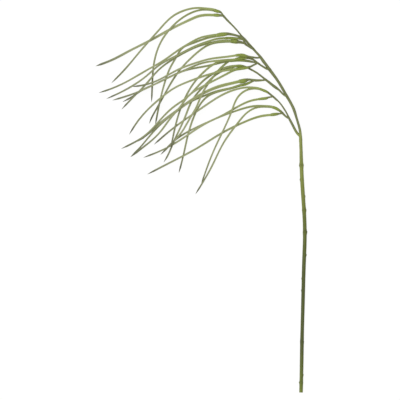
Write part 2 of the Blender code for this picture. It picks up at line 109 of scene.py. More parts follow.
# Knots: the least that a solid's ring stands out there, how near one a ring is part of it, and how far
# either side of one the steps are short
KNOT_RISE = 0.3
KNOT_CLEAR = 7.0
KNOT_REACH = 8.0

# Each knot from the cut end up: the side that it is strongest on, and its strength
KNOT_LOOKS = [(180, 0.45), (180, 0.65), (0, 1.0), (0, 0.65), (180, 0.85), (0, 0.15)]

# The length and height of every knot's ring, and what the strength of a knot adds to it: swellings, a
# crease and scars, each as place past the knot, length and height
KNOT_RING = (1.7, 0.2)
KNOT_SHAPE = [(0.0, 1.7, 0.25), (-3.6, 2.6, 0.30), (3.8, 1.0, 0.26), (2.5, 0.55, -0.20)]
KNOT_SCARS = [(1.6, 1.8, 1.0), (-1.9, 0.9, 0.6)]
SCAR_SPREAD = 1.2
SCAR_LEAST = 0.25

# How far a knot slants along the stem, and how far its slant is turned from that of the one before
KNOT_SLANT = 0.5
KNOT_TURN = 2.1

# Bulges and nubs of the stem, each as Y, side and height
BULGES = [(-64, 0, 0.8), (-20, 0, 0.7), (70, 180, 0.9), (70, 0, 0.8)]
BULGE_LENGTH = 3.4
BULGE_SPREAD = 0.9
NUBS = [
    (42, 180, 1.0),
    (8, 0, 1.0),
    (-109, 0, 1.0),
    (-156, 180, 0.8),
    (-180, 180, 0.8),
    (-349, 0, 0.8),
    (-364, 180, 0.9),
]
NUB_BELOW = 3.2
NUB_ABOVE = 0.9
NUB_SPREAD = 0.55
NUB_REACH = 4.0

# The scar over a nub: its place past the nub, its length and its depth, and its spread
NUB_SCAR = (1.2, 0.8, 0.9)
NUB_SCAR_SPREAD = 0.6

# A dry spot of the stem: its Y and side, its length and its spread
DRY_SPOT = (100, 180)
DRY_LENGTH = 3.5
DRY_SPREAD = 0.9

# The stem's ends, ring by ring, as a share of its width and how far up the ring is from the end
STEM_CUT = [
    (0.22, 0.9),
    (0.30, 0.25),
    (0.36, 0.1),
    (0.62, 0.12),
    (0.70, 0.0),
    (0.90, 0.0),
    (0.975, 0.08),
    (1.0, 0.25),
]
PITH_DEPTH = 1.0
STEM_TOP = [(0.985, 0.5), (0.94, 1.1), (0.87, 1.7), (0.78, 2.3), (0.66, 3.0)]

# Branches and sheaths: ribs and slow changes in thickness
TUBE_RIBS = 11
BRANCH_RIB_HEIGHT = 0.04
SHEATH_RIB_HEIGHT = 0.052
TUBE_RIB_DRIFT = (0.6, 60)
TUBE_RIB_CHANGE = (0.25, 12)
TUBE_DRIFT = (0.03, 30)

# Where a strand starts: its width as a share, its flare, and what its parent swells by
START_SHARE = 0.5
START_LENGTH = 2.4
FLARE = 0.22
FLARE_LENGTH = 2.2
FORK_SWELL = 0.07
FORK_LENGTH = 3.0

# The lengths over which a twig comes to its sheath's fullness, and a branch loses the stem's fresh colour
SHEATH_EASE = 10.0
STEM_BLEND = 16.0

# The rounded tip of a branch, ring by ring, as a share of its width and how far past its end the ring is
BRANCH_TIP = [(0.93, 0.5), (0.80, 0.9), (0.60, 1.25), (0.32, 1.45)]

# Where a twig turns into its sheath, as shares of the sheath's widest radius
SWELL_START = 0.74
SWELL_SHARE = 0.18

# A sheath's mouth: its slanting lip, with its longest side and how far that varies, and the hollow inside
LIP_RINGS = [0.2, 0.4, 0.6, 0.8, 1.0]
LIP_BACK_RINGS = [0.9, 0.5, 0.1]
LIP_LENGTH = 3.2
LIP_ROUNDING = 0.15
LIP_WIDTH = 0.84
LIP_SLANT = 0.45
LIP_SIDE = (70, 140)
LIP_PALENESS = 0.8
SHEATH_WALL = 0.35
POCKET_RINGS = [0.2, 0.6, 1.0]
POCKET_DEPTH = 4.0
POCKET_NARROWING = 0.06

# Blades: how far each starts inside its sheath, and the length over which it comes free of it
BLADE_INSIDE = 5.0
BLADE_OFFSET = 0.7
BLADE_FREE = 30.0

# The section of a blade, with heights and widths as shares of its own thickness and width
EDGE_POWER = 0.92
FACE_POWER = 0.86
GROOVE_DEPTH = 0.34
GROOVE_WIDTH = 0.34
KEEL_HEIGHT = 0.12
KEEL_WIDTH = 0.30
BLADE_RIB_HEIGHT = 0.02
BLADE_RIB_TURN = 15
EDGE_MARK_POWER = 6

# How a blade rolls and changes in width, each with the length over which it changes
BLADE_ROLL = (np.radians(14), 240)
BLADE_ROLL_SEED = 50
BLADE_RIPPLE = (0.05, 55)

# The flat layout of a strand's skin, in shares of its square: its strips, and its fans above them
STRIP_LEFT = 0.03
STRIP_LOW = 0.01
STRIP_FILL = 0.94
FAN_STARTS = (0.01, 0.51)
FAN_STEPS = 0.48
FAN_WIDTHS = 0.47
FAN_LOW = 0.96
FAN_HIGH = 0.99

# How far apart along the grain two strands are, so that no two look alike
GRAIN_APART = 1000.0

# Colours from the cut end to the fork, and from the sheath to the point of a blade
STEM_COLOURS = [
    (0.00, (0.205, 0.250, 0.032)),
    (0.09, (0.142, 0.170, 0.025)),
    (0.16, (0.090, 0.107, 0.017)),
    (0.45, (0.095, 0.113, 0.018)),
    (0.60, (0.130, 0.154, 0.022)),
    (0.72, (0.196, 0.226, 0.036)),
    (0.86, (0.270, 0.304, 0.064)),
    (1.00, (0.310, 0.345, 0.092)),
]
BLADE_COLOURS = [
    (0.00, (0.268, 0.330, 0.072)),
    (0.12, (0.298, 0.342, 0.106)),
    (0.40, (0.330, 0.355, 0.165)),
    (0.75, (0.300, 0.318, 0.168)),
    (0.91, (0.185, 0.192, 0.105)),
    (0.97, (0.085, 0.088, 0.052)),
    (1.00, (0.060, 0.062, 0.040)),
]

# A round strand: its middle line, how far along it each place is, and its radius there
Limb = namedtuple("Limb", "path far radius")


# Lines and waves
def lengths(path):
    """How far along a path each of its places is."""
    steps = np.linalg.norm(np.diff(path, axis=0), axis=1)
    return np.concatenate([[0.0], np.cumsum(steps)])


def smooth(points, count):
    """A natural cubic spline through the points, as count places even along its chords."""
    steps = np.linalg.norm(np.diff(points, axis=0), axis=1)
    knots = lengths(points)
    bends = np.eye(len(points))
    pulls = np.zeros_like(points)
    for i in range(1, len(points) - 1):
        bends[i, i - 1 : i + 2] = steps[i - 1], 2 * (steps[i - 1] + steps[i]), steps[i]
        pulls[i] = 6 * (points[i + 1] - points[i]) / steps[i]
        pulls[i] -= 6 * (points[i] - points[i - 1]) / steps[i - 1]
    bend = np.linalg.solve(bends, pulls)
    at = np.linspace(0.0, knots[-1], count)
    left = np.clip(np.searchsorted(knots, at, side="right") - 1, 0, len(steps) - 1)
    along = (at - knots[left])[:, None]
    span = steps[left][:, None]
    slope = (points[left + 1] - points[left]) / span - span * (2 * bend[left] + bend[left + 1]) / 6
    twist = (bend[left + 1] - bend[left]) / (6 * span)
    return points[left] + along * slope + along**2 * bend[left] / 2 + along**3 * twist


def picked(path, knots, places):
    """The points of a path at certain places, which are measured as its knots are."""
    return np.column_stack([np.interp(places, knots, path[:, k]) for k in range(3)])


def frames(path):
    """At each place of a path: its direction, the level one across it, and the one square to both."""
    along = np.gradient(path, axis=0)
    along /= np.linalg.norm(along, axis=1)[:, None]
    across = np.cross(along, (0.0, 0.0, 1.0))
    across /= np.linalg.norm(across, axis=1)[:, None]
    return along, across, np.cross(across, along)


def ease(value):
    """0 to 1 with level ends."""
    value = np.clip(value, 0.0, 1.0)
    return value * value * (3 - 2 * value)


def hump(distance, width):
    """1 in the middle, and almost 0 from about two widths away."""
    return np.exp(-((distance / width) ** 2))


def wander(at, pace, seed):
    """A smooth random line between about -1 and 1 that turns over about every pace."""
    phases = np.random.default_rng(seed).uniform(0, FULL_TURN, WAVES)
    waves = [np.sin(FULL_TURN * at / (pace * (1 + WAVE_GROWTH * i)) + phases[i]) for i in range(WAVES)]
    return sum(waves) / WAVE_SUM


def drift(at, most_and_pace, seed):
    """A wandering line that goes up to about most either way."""
    most, pace = most_and_pace
    return most * wander(at, pace, seed)


def fading(at, most_and_pace, seed):
    """A share that wanders between about 1 and twice most below it."""
    return 1 - most_and_pace[0] + drift(at, most_and_pace, seed)


def turns(sides):
    """The turn of each corner round a strand, in radians."""
    return np.arange(sides) * FULL_TURN / sides


def apart(turn, side):
    """The angle from each turn to a side, in radians."""
    return np.abs((turn - np.radians(side) + np.pi) % FULL_TURN - np.pi)


# Reading the frame
def spread(near, start):
    """The corners at each count of steps from one corner."""
    seen = {start}
    levels = [[start]]
    while levels[-1]:
        found = sorted({other for one in levels[-1] for other in near[one]} - seen)
        seen.update(found)
        levels.append(found)
    return levels[:-1]


def corners_of(mesh):
    """The separate corners of a solid, and which of them each of its mesh points is."""
    places = np.array([tuple(corner.co) for corner in mesh.vertices]) / MM
    _, first, same = np.unique(np.round(places, 2), axis=0, return_index=True, return_inverse=True)
    return places[first], same.ravel()


def stem_rings():
    """The rings of corners along the stem, from the cut end up. A ring that lacks a corner is left out."""
    places = corners_of(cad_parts["stem"].data)[0]
    places = places[np.argsort(places[:, 1])]
    found = []
    for group in np.split(places, np.flatnonzero(np.diff(places[:, 1]) > CAD_STEM_GAP) + 1):
        middle = (group.min(axis=0) + group.max(axis=0)) / 2
        ring = group[np.hypot(*(group - middle)[:, [0, 2]].T) > CAD_STEM_CORE]
        if len(ring) == CAD_STEM_SIDES:
            found.append(ring)
    return found


def rings(node):
    """The rings of corners along a solid strand, from the point in its right end to its left end's."""
    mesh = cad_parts[node].data
    places, same = corners_of(mesh)
    near = [set() for _ in places]
    for edge in mesh.edges:
        a, b = same[list(edge.vertices)]
        near[a].add(int(b))
        near[b].add(int(a))
    for start in np.argsort(-places[:, 0]):
        levels = spread(near, int(start))
        if len(levels[-1]) == 1 and all(len(level) == CAD_SIDES for level in levels[1:-1]):
            return [places[level] for level in levels]
    raise ValueError(f"{node} has no rings")


def ring_sizes(levels):
    """The middle of each ring, and how far its corners stand out from the middle line."""
    middles = np.array([ring.mean(axis=0) for ring in levels])
    sizes = []
    for ring, middle, way in zip(levels, middles, frames(middles)[0]):
        out = ring - middle
        out -= np.outer(out @ way, way)
        sizes.append(np.linalg.norm(out, axis=1).mean())
    return middles, np.array(sizes)


def limb_through(middles, sizes, step):
    """A round strand through ring middles, its radius drawn straight from ring to ring."""
    knots = lengths(middles)
    count = int(np.ceil(knots[-1] / step)) + 1
    radius = np.interp(np.linspace(0.0, knots[-1], count), knots, sizes)
    path = smooth(middles, count)
    return Limb(path, lengths(path), radius)


def nearest_limb(base, way, limbs):
    """The limb whose surface is nearest to a strand's base, and the place on its middle line to start at."""
    gaps = {}
    for name, limb in limbs.items():
        distance = np.linalg.norm(limb.path - base, axis=1) - limb.radius
        gaps[name] = distance.min()
    parent = min(gaps, key=gaps.get)
    limb = limbs[parent]
    back = base - way * limb.radius[np.linalg.norm(limb.path - base, axis=1).argmin()]
    return parent, int(np.linalg.norm(limb.path - back, axis=1).argmin())


def read_limbs():
    """Every round strand, begun inside the one that it grows from, and the places where each one forks."""
    limbs = {"stem": limb_through(*ring_sizes(stem_rings()), KNOT_STEP)}
    forks = {}
    for name in BRANCHES + SHEATHS:
        middles, sizes = ring_sizes(rings(name)[1:-1])
        way = frames(middles)[0][0]
        parent, foot = nearest_limb(middles[0], way, limbs)
        forks.setdefault(parent, []).append(foot)
        middles[0], sizes[0] = limbs[parent].path[foot], sizes[1]
        limbs[name] = limb_through(middles, sizes, TUBE_STEP)
    return limbs, forks


# Making a piece
def ring_rows(path, across_out, up_out):
    """Rows of corners round a path, from how far each one stands out across and up."""
    _, across, up = frames(path)
    return path[:, None] + across_out[..., None] * across[:, None] + up_out[..., None] * up[:, None]


def round_rows(path, out):
    """Rows of corners round a path, from how far each one stands out at its own turn."""
    turn = turns(out.shape[1])
    return ring_rows(path, out * np.cos(turn), out * np.sin(turn))


def end_rings(middle, ring, way, steps):
    """Copies of an end's ring, each as a share of its width and how far on its middle is."""
    return [middle + share * (ring - middle) + past * way for share, past in steps]


def stacked(*values):
    """Values for each row and corner as one array of threes."""
    return np.stack(np.broadcast_arrays(*values), axis=2)


def strand_faces(rows, sides):
    """The four-sided faces between rows, and the fans from the first and last row to their end points."""
    corner = np.arange(rows * sides).reshape(rows, sides)
    a, b = corner[:-1], np.roll(corner, -1, axis=1)[:-1]
    quads = np.stack([a, a + sides, b + sides, b], axis=2).reshape(-1, 4)
    start, end = rows * sides, rows * sides + 1
    low, high = corner[0], corner[-1]
    bottom = np.stack([np.full(sides, start), low, np.roll(low, -1)], axis=1)
    top = np.stack([np.full(sides, end), np.roll(high, -1), high], axis=1)
    return quads.tolist() + bottom.tolist() + top.tolist()


def fan_uvs(sides, start):
    """One end's fan as a line of small triangles above the strips."""
    left = start + FAN_STEPS * np.arange(sides) / sides
    middle = left + FAN_STEPS / 2 / sides
    right = left + FAN_WIDTHS / sides
    low, high = np.full(sides, FAN_LOW), np.full(sides, FAN_HIGH)
    return np.stack([middle, high, left, low, right, low], axis=1).reshape(-1, 2)


def strip_uvs(rows, sides, length, girth):
    """The skin of a strand, cut into even lengths that lie side by side, with both end fans above them."""
    columns = max(1, int(round(np.sqrt(length / girth))))
    row, side = (grid.ravel() for grid in np.indices((rows - 1, sides)))
    column = row * columns // (rows - 1)
    starts = np.array([np.flatnonzero(column == k)[0] // sides for k in range(columns)] + [rows - 1])
    first, past = starts[column], starts[column + 1]
    left = (column + STRIP_LEFT + STRIP_FILL * side / sides) / columns
    right = (column + STRIP_LEFT + STRIP_FILL * (side + 1) / sides) / columns
    low = STRIP_LOW + STRIP_FILL * (row - first) / (past - first)
    high = STRIP_LOW + STRIP_FILL * (row + 1 - first) / (past - first)
    quads = np.stack([left, low, left, high, right, high, right, low], axis=1).reshape(-1, 2)
    return np.concatenate([quads, *(fan_uvs(sides, start) for start in FAN_STARTS)])


def creases(ribs):
    """0 on the crest of a rib and 1 in the crease between two: the mask for the painted shade in the creases.
    """
    return 0.5 - 0.5 * ribs


def write(mesh, name, kind, values):
    """Stores a number or a three of numbers for each corner of a mesh."""
    field = "value" if kind == "FLOAT" else "vector"
    mesh.attributes.new(name, kind, "POINT").data.foreach_set(field, values.astype(np.float32).ravel())


def write_surface(mesh, rows, marks, far, seed):
    """Stores where each corner is on the straightened strand, its share of the length, and its marks."""
    turn = turns(rows.shape[1])
    out = np.linalg.norm(rows - rows.mean(axis=1)[:, None], axis=2)
    straight = stacked(out * np.cos(turn), out * np.sin(turn), far[:, None] + GRAIN_APART * seed)
    share = np.repeat(far / far[-1], len(turn))
    write(mesh, "straight", "FLOAT_VECTOR", np.concatenate([straight.reshape(-1, 3), straight[[0, -1], 0]]))
    write(mesh, "along", "FLOAT", np.concatenate([share, [0.0, 1.0]]))
    write(mesh, "marks", "FLOAT_VECTOR", np.concatenate([marks.reshape(-1, 3), marks[[0, -1]].mean(axis=1)]))


def skin(node, slot, rows, ends, marks, seed):
    """A closed piece that stands for a CAD node: rows of corners, with a fan to one point at each end."""
    count, sides = rows.shape[:2]
    corners = np.concatenate([rows.reshape(-1, 3), ends])
    mesh = bpy.data.meshes.new(node + "_fine")
    mesh.from_pydata((corners * MM).tolist(), [], strand_faces(count, sides))
    mesh.shade_smooth()
    mesh.set_sharp_from_angle(angle=SHARP_ANGLE)

    far = lengths(rows.mean(axis=1))
    write_surface(mesh, rows, marks, far, seed)
    girth = np.linalg.norm(np.diff(rows, axis=1), axis=2).sum(axis=1).mean()
    layer = mesh.uv_layers.new(name="OFBake")
    layer.uv.foreach_set("vector", strip_uvs(count, sides, far[-1], girth).ravel())

    mesh.materials.append(MATERIALS[slot])
    piece = bpy.data.objects.new(node + "_fine", mesh)
    bpy.context.collection.objects.link(piece)
    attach(piece, "root")
    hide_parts(node)


# The stem
def stem_places(low, high, knots):
    """Places along the stem, closer together where a knot or a nub is."""
    even = np.arange(low, high, STEM_STEP)
    busy = [knot + np.arange(-KNOT_REACH, KNOT_REACH, KNOT_STEP) for knot in knots]
    busy += [y + np.arange(-NUB_REACH, NUB_REACH, KNOT_STEP) for y, _, _ in NUBS]
    places = np.round(np.concatenate([even, *busy, [high]]), 1)
    return np.unique(np.clip(places, low, high))


def stem_knots(middles, sizes):
    """Where the stem's rings swell to a knot, and its rings between the knots."""
    rise = np.minimum(sizes[1:-1] - sizes[:-2], sizes[1:-1] - sizes[2:])
    knots = middles[1:-1][rise > KNOT_RISE, 1]
    clear = np.abs(middles[:, 1][:, None] - knots).min(axis=1) > KNOT_CLEAR
    return knots, middles[clear, 1], sizes[clear]


def knot_relief(y, turn, knots):
    """How far the knots stand out, and their scars, at each place and turn."""
    out, scar = np.zeros((2, len(y), len(turn)))
    ring_length, ring_height = KNOT_RING
    for number, (knot, (side, strength)) in enumerate(zip(knots, KNOT_LOOKS)):
        at = y - knot + KNOT_SLANT * np.sin(turn + KNOT_TURN * number)
        out += ring_height * hump(at, ring_length)
        for place, length, height in KNOT_SHAPE:
            out += strength * height * hump(at - place, length)
        near = SCAR_LEAST + (1 - SCAR_LEAST) * hump(apart(turn, side), SCAR_SPREAD)
        for place, length, depth in KNOT_SCARS:
            scar += strength * near * depth * hump(at - place, length)
    return out, scar


def bump_relief(y, turn):
    """How far the bulges and nubs stand out, and the scars over the nubs, at each place and turn."""
    out, scar = np.zeros((2, len(y), len(turn)))
    for place, side, height in BULGES:
        out += height * hump(y - place, BULGE_LENGTH) * hump(apart(turn, side), BULGE_SPREAD)
    past, length, depth = NUB_SCAR
    for place, side, height in NUBS:
        at = y - place
        taper = np.where(at < 0, NUB_BELOW, NUB_ABOVE)
        out += height * hump(at, taper) * hump(apart(turn, side), NUB_SPREAD)
        scar += depth * hump(at - past, length) * hump(apart(turn, side), NUB_SCAR_SPREAD)
    return out, scar


def make_stem(limb):
    """The knotted stem, from its cut face at the lower end to the shoulder that the branches leave."""
    knots, clear, sizes = stem_knots(*ring_sizes(stem_rings()))
    place = stem_places(limb.path[0, 1], limb.path[-1, 1], knots)
    path = picked(limb.path, limb.path[:, 1], place)
    y = place[:, None]
    turn = turns(STEM_SIDES)
    knot_out, knot_scar = knot_relief(y, turn, knots)
    bump_out, bump_scar = bump_relief(y, turn)
    ribs = np.cos(STEM_RIBS * turn + drift(y, STEM_RIB_DRIFT, 2))
    out = STEM_FULLNESS * np.interp(y, clear, sizes) + drift(y, STEM_DRIFT, 1) + knot_out + bump_out
    out += STEM_RIB_HEIGHT * ribs * fading(y, STEM_RIB_CHANGE, 3)
    dry = hump(y - DRY_SPOT[0], DRY_LENGTH) * hump(apart(turn, DRY_SPOT[1]), DRY_SPREAD)
    # Marks: the creases between the ribs, which take painted shade, then the scars, then the dry spot
    marks = stacked(creases(ribs), np.clip(knot_scar + bump_scar, 0, 1), dry)
    rows = round_rows(path, out)

    way = frames(path)[0]
    cut = end_rings(path[0], rows[0], way[0], STEM_CUT)
    cut_marks = np.zeros((len(cut), STEM_SIDES, 3))
    cut_marks[:-1, :, 2] = 1.0
    top = end_rings(path[-1], rows[-1], way[-1], STEM_TOP)
    rows = np.concatenate([cut, rows[1:], top])
    marks = np.concatenate([cut_marks, marks[1:], np.repeat(marks[-1:], len(top), axis=0)])
    ends = [path[0] + PITH_DEPTH * way[0], path[-1] + STEM_TOP[-1][1] * way[-1]]
    skin("stem", "stem", rows, ends, marks, 0)


# Branches and sheaths
def tube_out(limb, fullness, forks, seed):
    """How far a round strand stands out: wider where it leaves its parent and where others leave it."""
    far = limb.far
    out = fullness * limb.radius * (START_SHARE + (1 - START_SHARE) * ease(far / START_LENGTH))
    out *= 1 + FLARE * np.exp(-far / FLARE_LENGTH) + drift(far, TUBE_DRIFT, seed)
    joint = np.zeros(len(far))
    for fork in forks:
        joint = np.maximum(joint, hump(far - far[fork], FORK_LENGTH))
    return out * (1 + FORK_SWELL * joint), joint


def tube_ribs(far, seed):
    """The ribs round a branch or a sheath, from -1 in the creases to 1."""
    ribs = np.cos(TUBE_RIBS * turns(TUBE_SIDES) + drift(far, TUBE_RIB_DRIFT, seed)[:, None])
    return ribs * fading(far, TUBE_RIB_CHANGE, seed + 1)[:, None]


def make_branch(name, limb, forks, seed):
    """A ribbed branch with a rounded tip, swollen where others leave it."""
    out, joint = tube_out(limb, BRANCH_FULLNESS, forks, seed)
    ribs = tube_ribs(limb.far, seed)
    rows = round_rows(limb.path, out[:, None] + BRANCH_RIB_HEIGHT * ribs)
    fresh = hump(limb.far, STEM_BLEND) if name in STEM_BRANCHES else np.zeros(len(limb.far))
    # Marks: the creases between the ribs, which take painted shade, then the forks, then the stem's fresh
    # colour
    marks = stacked(creases(ribs), joint[:, None], fresh[:, None])
    end, way = limb.path[-1], frames(limb.path)[0][-1]
    tip = end_rings(end, rows[-1], way, BRANCH_TIP)
    rows = np.concatenate([rows, tip])
    marks = np.concatenate([marks, np.repeat(marks[-1:], len(tip), axis=0)])
    skin(name, "branch", rows, [limb.path[0], end + BRANCH_TIP[-1][1] * way], marks, seed)


def sheath_mouth(end, way, rim, seed):
    """The rings past a sheath's end: those of its slanting lip, and those from the lip's edge inwards."""
    side = LIP_SIDE[0] + LIP_SIDE[1] * np.sin(seed)
    slant = (1 - LIP_SLANT + LIP_SLANT * np.cos(turns(TUBE_SIDES) - np.radians(side)))[:, None]
    wall = 1 - SHEATH_WALL / np.linalg.norm(rim, axis=1).mean()
    lip = []
    for part in LIP_RINGS:
        width = 1 - (1 - LIP_WIDTH) * ease(part)
        lip.append(end + width * rim + LIP_LENGTH * part * slant * way)
    inner = [end + LIP_WIDTH * (0.5 + 0.5 * wall) * rim + (LIP_LENGTH + LIP_ROUNDING) * slant * way]
    for part in LIP_BACK_RINGS:
        inner.append(end + LIP_WIDTH * wall * rim + LIP_LENGTH * part * slant * way)
    for part in POCKET_RINGS:
        inner.append(end + (LIP_WIDTH - POCKET_NARROWING * part) * wall * rim - POCKET_DEPTH * part * way)
    return lip, inner


def sheath_marks(limb, ribs, lip_count, inner_count):
    """For each ring: its creases and the hollow inside its mouth, which take painted shade, how much it is
    sheath rather than twig, and its pale lip.
    """
    lip_creases = np.repeat(creases(ribs[-1:]), lip_count, axis=0)
    hollow = np.concatenate([creases(ribs), lip_creases, np.ones((inner_count, TUBE_SIDES))])
    swell = ease((limb.radius / limb.radius.max() - SWELL_START) / SWELL_SHARE)
    swell = np.concatenate([swell, np.ones(lip_count + inner_count)])
    pale = np.concatenate([np.zeros(len(ribs)), LIP_RINGS, [LIP_PALENESS], np.zeros(inner_count - 1)])
    return stacked(hollow, swell[:, None], pale[:, None])


def make_sheath(name, limb, forks, seed):
    """A twig that swells into a sheath, whose slanting lip closes round the blades at a hollow mouth."""
    fuller = (SHEATH_FULLNESS - BRANCH_FULLNESS) * ease(limb.far / SHEATH_EASE)
    out, _ = tube_out(limb, BRANCH_FULLNESS + fuller, forks, seed)
    ribs = tube_ribs(limb.far, seed)
    rows = round_rows(limb.path, out[:, None] + SHEATH_RIB_HEIGHT * ribs)
    end, way = limb.path[-1], frames(limb.path)[0][-1]
    lip, inner = sheath_mouth(end, way, rows[-1] - end, seed)
    rows = np.concatenate([rows, lip, inner])
    marks = sheath_marks(limb, ribs, len(lip), len(inner))
    skin(name, "sheath", rows, [limb.path[0], end - POCKET_DEPTH * way], marks, seed)


# Blades
def blade_sizes(levels):
    """The middle of each ring of a blade, and half its width and half its thickness there."""
    middles = np.array([ring.mean(axis=0) for ring in levels])
    _, across, up = frames(middles)
    wide = [np.abs((ring - middle) @ axis).max() for ring, middle, axis in zip(levels, middles, across)]
    thick = [np.abs((ring - middle) @ axis).max() for ring, middle, axis in zip(levels, middles, up)]
    return middles, np.array(wide), np.array(thick)


def blade_line(name, sheath):
    """A blade's middle line, from inside its sheath to its point, with half its width and thickness."""
    middles, wide, thick = blade_sizes(rings(name)[1:])
    wide[0], thick[0] = wide[1], min(thick[0], thick[1])
    inside = int(np.abs(sheath.far - sheath.far[-1] + BLADE_INSIDE).argmin())
    start = sheath.path[inside] + BLADE_OFFSET * (middles[0] - sheath.path[-1])
    points = np.vstack([start, middles])
    line = smooth(points, BLADE_LINE_ROWS)
    line_far = lengths(line)
    path = picked(line, line_far, np.linspace(0, line_far[-1], BLADE_ROWS))
    far = lengths(path)
    knots = lengths(points)
    knots = knots * far[-1] / knots[-1]
    wide = np.interp(far, knots, np.append(wide[0], wide))
    thick = np.interp(far, knots, np.append(thick[0], thick))
    return path, far, wide, thick


def signed_power(value, power):
    """A power of a value that keeps its sign."""
    return np.sign(value) * np.abs(value) ** power


def blade_section(free):
    """A blade's outline across and up as shares of its size, and its marks: the groove, which takes painted
    shade, the underside and the edges.

    Free is 0 for a place inside the sheath, where the groove is filled, and 1 well out of it.
    """
    turn = turns(BLADE_SIDES)
    across = signed_power(np.cos(turn), EDGE_POWER)
    up = signed_power(np.sin(turn), FACE_POWER)
    above = np.sqrt(np.clip(np.sin(turn), 0, 1))
    under = np.sqrt(np.clip(-np.sin(turn), 0, 1))
    groove = free * hump(across, GROOVE_WIDTH) * above
    keel = hump(across, KEEL_WIDTH) * under
    ribs = np.cos(BLADE_RIB_TURN * across) * (above + under)
    up = up - GROOVE_DEPTH * groove - KEEL_HEIGHT * keel + BLADE_RIB_HEIGHT * ribs
    edges = np.abs(across) ** EDGE_MARK_POWER
    return across, up, stacked(groove, under[None, :], edges[None, :])


def make_blade(name, sheath, seed):
    """A narrow fleshy blade, grooved above and keeled below, from inside its sheath to its point."""
    path, far, wide, thick = blade_line(name, sheath)
    wide = BLADE_FULLNESS * wide * (1 + drift(far, BLADE_RIPPLE, seed))
    free = ease((far - BLADE_INSIDE) / BLADE_FREE)[:, None]
    across, up, marks = blade_section(free)
    across, up = wide[:, None] * across, thick[:, None] * up
    roll = drift(far, BLADE_ROLL, seed + BLADE_ROLL_SEED)[:, None] * free
    rolled_across = across * np.cos(roll) - up * np.sin(roll)
    rolled_up = across * np.sin(roll) + up * np.cos(roll)
    rows = ring_rows(path, rolled_across, rolled_up)
    skin(name, "blade", rows[:-1], [path[0], path[-1]], marks[:-1], seed)


# Materials
def add(tree, kind, inputs=(), **settings):
    """A node with its settings, and its inputs as values or as other nodes' outputs."""
    node = tree.nodes.new(kind)
    for name, value in settings.items():
        setattr(node, name, value)
    for name, value in dict(inputs).items():
        join(tree, node.inputs[name], value)
    return node


def join(tree, socket, value):
    """Gives an input a value, or wires another node's output to it."""
    if isinstance(value, bpy.types.NodeSocket):
        tree.links.new(value, socket)
    else:
        socket.default_value = value


def attribute(tree, name):
    """What is stored for the surface under that name."""
    return add(tree, "ShaderNodeAttribute", attribute_name=name).outputs


def marks_of(tree):
    """The three marks of the surface, as X, Y and Z."""
    return add(tree, "ShaderNodeSeparateXYZ", {"Vector": attribute(tree, "marks")["Vector"]}).outputs


def grain(tree, across, along, detail=3.0):
    """Noise drawn out along the strand: its size across and along, in millimetres."""
    scale = (1 / across, 1 / across, 1 / along)
    place = add(tree, "ShaderNodeMapping", {"Vector": attribute(tree, "straight")["Vector"], "Scale": scale})
    noise = add(tree, "ShaderNodeTexNoise", {"Vector": place.outputs[0], "Scale": 1.0, "Detail": detail})
    return noise.outputs["Fac"]


def level(tree, value, low, high, to_low=0.0, to_high=1.0):
    """Stretches the range from low to high over the range from to_low to to_high."""
    inputs = {"Value": value, "From Min": low, "From Max": high, "To Min": to_low, "To Max": to_high}
    return add(tree, "ShaderNodeMapRange", inputs).outputs["Result"]


def times(tree, a, b):
    """One value times another."""
    return add(tree, "ShaderNodeMath", {0: a, 1: b}, operation="MULTIPLY").outputs[0]


def ramp(tree, value, stops):
    """Colours along a value, eased from stop to stop."""
    node = add(tree, "ShaderNodeValToRGB", {"Fac": value})
    elements = node.color_ramp.elements
    for place, colour in stops[1:-1]:
        elements.new(place).color = (*colour, 1.0)
    elements[0].position, elements[0].color = stops[0][0], (*stops[0][1], 1.0)
    elements[-1].position, elements[-1].color = stops[-1][0], (*stops[-1][1], 1.0)
    return node.outputs["Color"]


def mix(tree, share, a, b, blend="MIX"):
    """Colour b over colour a, by a share."""
    a, b = ((*colour, 1.0) if isinstance(colour, tuple) else colour for colour in (a, b))
    return add(tree, "ShaderNodeMix", {0: share, 6: a, 7: b}, data_type="RGBA", blend_type=blend).outputs[2]


def finish(tree, colour, roughness, height, depth):
    """Wires a plant surface: colour, roughness between two bounds, and fine relief depth millimetres deep."""
    shader = tree.nodes["Principled BSDF"]
    tree.links.new(colour, shader.inputs["Base Color"])
    tree.links.new(roughness, shader.inputs["Roughness"])
    bump = add(tree, "ShaderNodeBump", {"Height": height, "Distance": depth * MM, "Strength": 1.0})
    tree.links.new(bump.outputs[0], shader.inputs["Normal"])
    shader.inputs["Metallic"].default_value = 0.0
    shader.inputs["Specular IOR Level"].default_value = 0.35


def material(name):
    """A new material with that name, and its nodes."""
    made = bpy.data.materials.new(name)
    made.use_nodes = True
    return made, made.node_tree


def stem_material():
    """Dark green with a fresher cut end and fork, and painted shade in the creases between its ribs. Its
    other marks are scars, and dry or cut places.
    """
    made, tree = material("stem_skin")
    mark = marks_of(tree)
    colour = ramp(tree, attribute(tree, "along")["Fac"], STEM_COLOURS)
    streaks = level(tree, grain(tree, 0.9, 22), 0.42, 0.66, 0.0, 0.6)
    colour = mix(tree, streaks, colour, (0.30, 0.34, 0.14), "OVERLAY")
    shade = level(tree, grain(tree, 5, 60, 2.0), 0.35, 0.65, 0.0, 0.45)
    colour = mix(tree, shade, colour, (0.45, 0.5, 0.4), "MULTIPLY")
    # Painted shade in the creases between the ribs
    colour = mix(tree, times(tree, mark["X"], 0.35), colour, (0.4, 0.42, 0.35), "MULTIPLY")
    flecks = level(tree, grain(tree, 1.1, 2.6, 4.0), 0.66, 0.72, 0.0, 0.55)
    colour = mix(tree, flecks, colour, (0.16, 0.125, 0.055))
    colour = mix(tree, times(tree, mark["Y"], 0.75), colour, (0.022, 0.022, 0.010))
    colour = mix(tree, times(tree, mark["Z"], 0.9), colour, (0.42, 0.36, 0.20))
    roughness = level(tree, grain(tree, 0.8, 14), 0.3, 0.7, 0.42, 0.62)
    finish(tree, colour, roughness, grain(tree, 0.35, 9, 4.0), 0.12)
    return made


